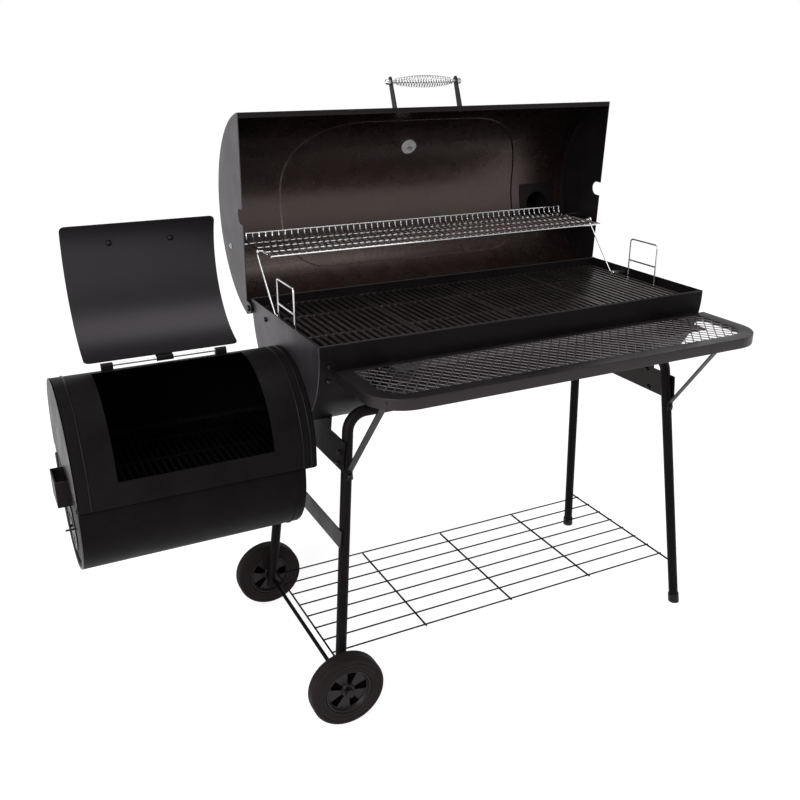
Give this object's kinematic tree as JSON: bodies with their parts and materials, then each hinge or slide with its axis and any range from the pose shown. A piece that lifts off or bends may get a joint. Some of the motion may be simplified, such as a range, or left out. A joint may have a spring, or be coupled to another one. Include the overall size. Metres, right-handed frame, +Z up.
{
  "type": "offset smoker",
  "caption": "Barrel smoker with an offset firebox, swing-up warming rack, mesh front shelf, lower wire shelf and splayed tube legs on wheels.",
  "frame": {"origin": "middle of the open smoker's box, on the ground", "axes": "+X from the firebox to the feet, +Y from the front shelf to the back, +Z up"},
  "size_m": [1.585, 1.1256, 1.4078],
  "materials": {
    "black_paint": "satin high-temperature paint",
    "chrome_wire": "bright plated wire",
    "grate_enamel": "dark enamel",
    "zinc": "zinc plated",
    "black_plastic": "moulded",
    "tyre": "moulded rubber",
    "glass": "clear",
    "needle_red": "gloss paint"
  },
  "bodies": {
    "chamber": {"chamber_shell": "black_paint", "chamber_left_end": "black_paint", "chamber_right_end": "black_paint", "grate_ledges": "black_paint", "cooking_grate_1": "grate_enamel", "cooking_grate_2": "grate_enamel", "cooking_grate_3": "grate_enamel", "cooking_grate_4": "grate_enamel", "tray_hooks": "black_paint", "lid_pivot_studs": "zinc", "link_pivot_studs": "zinc", "front_leg_frame": "black_paint", "rear_leg_frame": "black_paint", "cradle_left": "black_paint", "cradle_right": "black_paint", "lower_brace": "black_paint", "foot_caps": "black_plastic", "axle": "zinc", "axle_caps": "black_plastic", "wire_shelf": "black_paint", "shelf_frame": "black_paint", "shelf_mesh": "black_paint", "shelf_brackets": "black_paint", "shelf_struts": "black_paint", "firebox_shell": "black_paint", "firebox_left_end": "black_paint", "firebox_right_end": "black_paint", "door_hinge_tabs": "black_paint", "door_hinge_rod": "zinc"},
    "lid": {"lid_shell": "black_paint", "lid_left_end": "black_paint", "lid_right_end": "black_paint", "handle_straps": "black_paint", "handle_rod": "zinc", "handle_grip": "chrome_wire", "thermometer_case": "zinc", "thermometer_glass": "glass", "thermometer_nut": "zinc", "smokestack": "black_paint", "stack_flange": "black_paint"},
    "needle": {"thermometer_needle": "needle_red"},
    "stack_cap": {"stack_damper": "black_paint"},
    "rack": {"warming_rack": "chrome_wire"},
    "rack_links": {"rack_link_left": "chrome_wire", "rack_link_right": "chrome_wire"},
    "door": {"firebox_door": "black_paint", "door_handle_straps": "black_paint", "door_handle_rod": "zinc", "door_handle_grip": "chrome_wire"},
    "drawer": {"ash_drawer": "black_paint", "drawer_handle": "black_paint", "firebox_grate": "grate_enamel"},
    "vent": {"air_damper": "black_paint"},
    "tray": {"charcoal_tray": "black_paint", "tray_lifters": "chrome_wire"},
    "front_wheel": {"wheel_hub_front": "black_plastic", "tyre_front": "tyre"},
    "rear_wheel": {"wheel_hub_rear": "black_plastic", "tyre_rear": "tyre"}
  },
  "joints": [
    {"name": "lid_hinge", "type": "hinge", "parent": "chamber", "child": "lid", "pos_m": [0.25348, 0.09723, 0.879], "axis": [1, 0, 0], "range_deg": [0, 87]},
    {"name": "rack_pivot", "type": "hinge", "parent": "lid", "child": "rack", "pos_m": [0.25348, 0.21623, 1.011], "axis": [1, 0, 0], "range_deg": [-87, 0]},
    {"name": "link_pivot", "type": "hinge", "parent": "chamber", "child": "rack_links", "pos_m": [0.25348, -0.01877, 0.883], "axis": [1, 0, 0], "range_deg": [0, 87]},
    {"name": "stack_cap_swivel", "type": "hinge", "parent": "lid", "child": "stack_cap", "pos_m": [0.73648, 0.55858, 1.05034], "axis": [0, 0.9986, 0.0523], "range_deg": [0, 110]},
    {"name": "needle_turn", "type": "hinge", "parent": "lid", "child": "needle", "pos_m": [0.24298, 0.26432, 1.23387], "axis": [0, 0.8358, 0.549], "range_deg": [-130, 130]},
    {"name": "door_hinge", "type": "hinge", "parent": "chamber", "child": "door", "pos_m": [-0.52252, -0.07609, 0.84122], "axis": [1, 0, 0], "range_deg": [0, 153.5]},
    {"name": "drawer_slide", "type": "slide", "parent": "chamber", "child": "drawer", "axis": [-1, 0, 0], "range_m": [0, 0.36]},
    {"name": "vent_turn", "type": "hinge", "parent": "drawer", "child": "vent", "pos_m": [-0.76552, -0.12977, 0.511], "axis": [1, 0, 0], "range_deg": [-45, 45]},
    {"name": "tray_lift", "type": "slide", "parent": "chamber", "child": "tray", "axis": [0, 0, 1], "range_m": [0, 0.0575]},
    {"name": "front_wheel_spin", "type": "hinge", "parent": "chamber", "child": "front_wheel", "pos_m": [-0.25355, -0.40511, 0.0895], "axis": [0, 1, 0], "continuous": true},
    {"name": "rear_wheel_spin", "type": "hinge", "parent": "chamber", "child": "rear_wheel", "pos_m": [-0.25355, 0.15557, 0.0895], "axis": [0, 1, 0], "continuous": true}
  ],
  "couplings": [
    {"joint": "rack_pivot", "follows": "lid_hinge", "ratio": -1},
    {"joint": "link_pivot", "follows": "lid_hinge", "ratio": 1}
  ]
}
